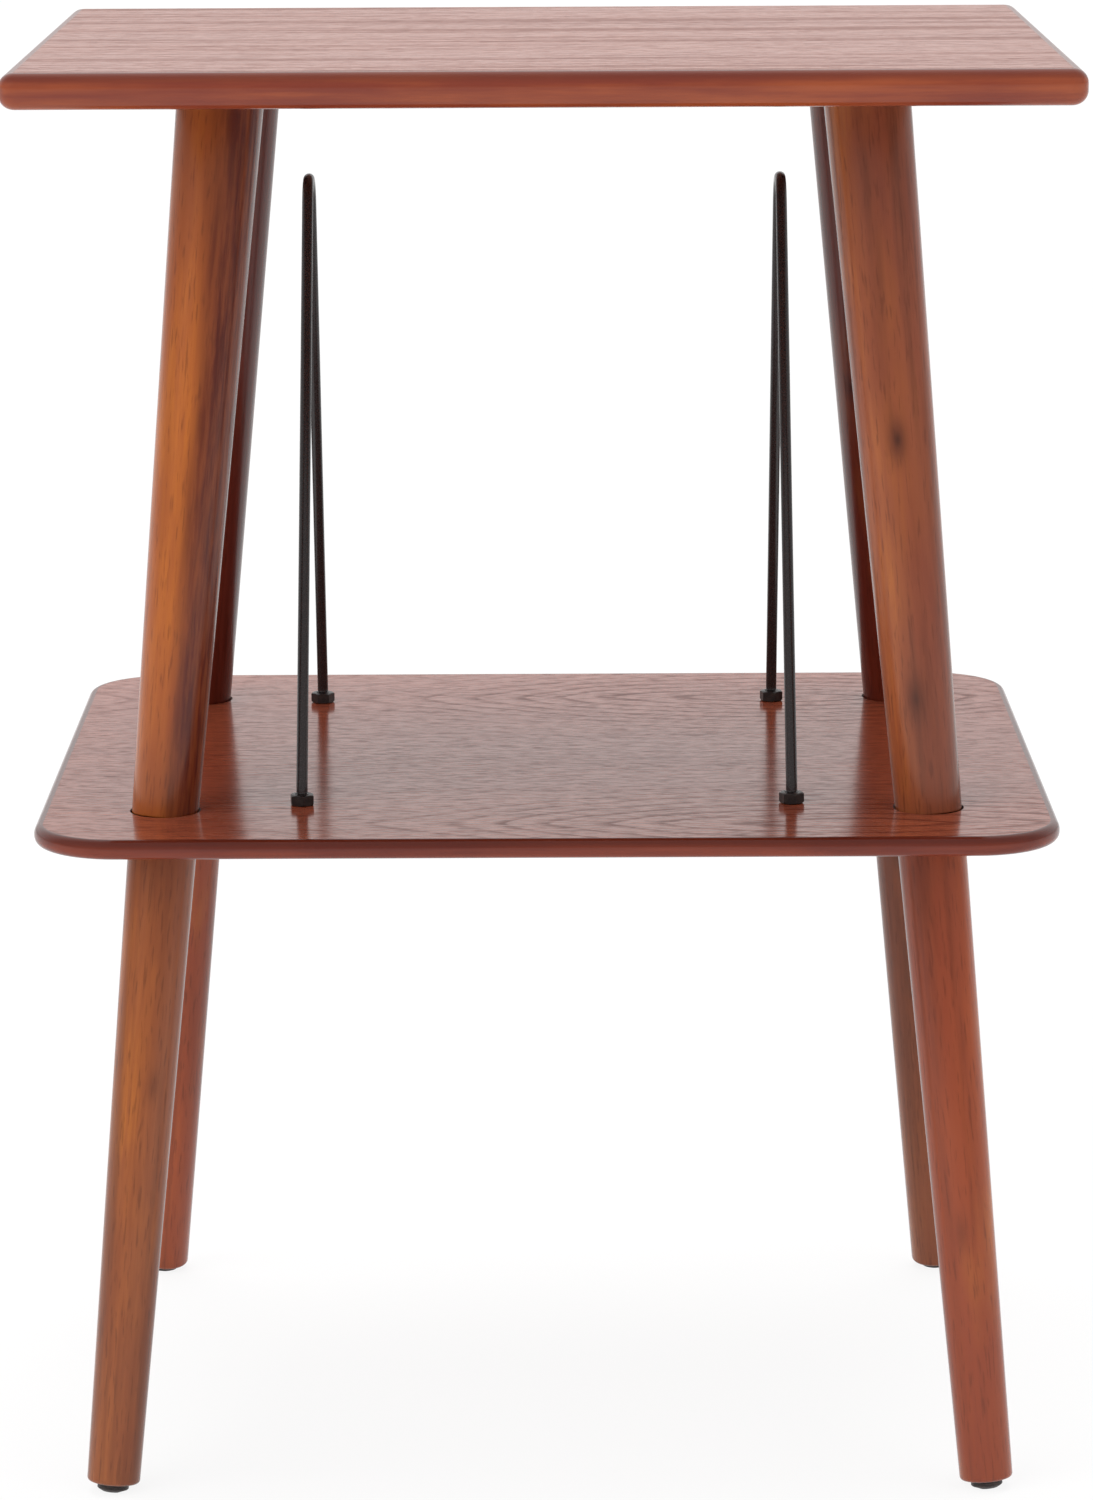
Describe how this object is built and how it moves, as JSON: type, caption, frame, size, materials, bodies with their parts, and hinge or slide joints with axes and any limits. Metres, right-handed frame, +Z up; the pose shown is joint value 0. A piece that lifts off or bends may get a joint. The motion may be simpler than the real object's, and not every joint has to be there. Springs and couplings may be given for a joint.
{
  "type": "record storage stand",
  "caption": "Open stand with a flat top for a record player, a lower shelf with rounded corners, splayed tapered round legs and bent wire loops that keep records upright.",
  "frame": {"origin": "on the floor under the middle of the stand", "axes": "+Z up, -Y towards the front, +X to the right as seen from the front"},
  "size_m": [0.471, 0.381, 0.648],
  "materials": {
    "board_veneer": "red-brown stained open-pore veneer, satin lacquer, grain from left to right",
    "leg_wood": "red-brown stained turned wood, satin lacquer, grain along the leg",
    "divider_wire": "semi-gloss black coated steel wire",
    "black_hardware": "black coated steel nuts and washers",
    "zinc_steel": "bright zinc plated steel",
    "glide_plastic": "dark brown moulded plastic"
  },
  "bodies": {
    "root": {"top_board": "board_veneer", "storage_shelf": "board_veneer", "upper_leg_front_left": "leg_wood", "upper_leg_front_right": "leg_wood", "upper_leg_back_left": "leg_wood", "upper_leg_back_right": "leg_wood", "lower_leg_front_left": "leg_wood", "lower_leg_front_right": "leg_wood", "lower_leg_back_left": "leg_wood", "lower_leg_back_right": "leg_wood", "foot_glide_front_left": "glide_plastic", "foot_glide_front_right": "glide_plastic", "foot_glide_back_left": "glide_plastic", "foot_glide_back_right": "glide_plastic", "divider_wire_left": "divider_wire", "divider_wire_right": "divider_wire", "divider_upper_nut_front_left": "black_hardware", "divider_upper_nut_front_right": "black_hardware", "divider_upper_nut_back_left": "black_hardware", "divider_upper_nut_back_right": "black_hardware", "divider_washer_front_left": "black_hardware", "divider_washer_front_right": "black_hardware", "divider_washer_back_left": "black_hardware", "divider_washer_back_right": "black_hardware", "divider_lower_nut_front_left": "black_hardware", "divider_lower_nut_front_right": "black_hardware", "divider_lower_nut_back_left": "black_hardware", "divider_lower_nut_back_right": "black_hardware", "leg_top_bolt_front_left": "zinc_steel", "leg_top_bolt_front_right": "zinc_steel", "leg_top_bolt_back_left": "zinc_steel", "leg_top_bolt_back_right": "zinc_steel", "top_board_insert_front_left": "zinc_steel", "top_board_insert_front_right": "zinc_steel", "top_board_insert_back_left": "zinc_steel", "top_board_insert_back_right": "zinc_steel", "leg_joint_bolt_front_left": "zinc_steel", "leg_joint_bolt_front_right": "zinc_steel", "leg_joint_bolt_back_left": "zinc_steel", "leg_joint_bolt_back_right": "zinc_steel", "lower_leg_insert_front_left": "zinc_steel", "lower_leg_insert_front_right": "zinc_steel", "lower_leg_insert_back_left": "zinc_steel", "lower_leg_insert_back_right": "zinc_steel", "glide_nail_front_left": "zinc_steel", "glide_nail_front_right": "zinc_steel", "glide_nail_back_left": "zinc_steel", "glide_nail_back_right": "zinc_steel"}
  },
  "joints": []
}
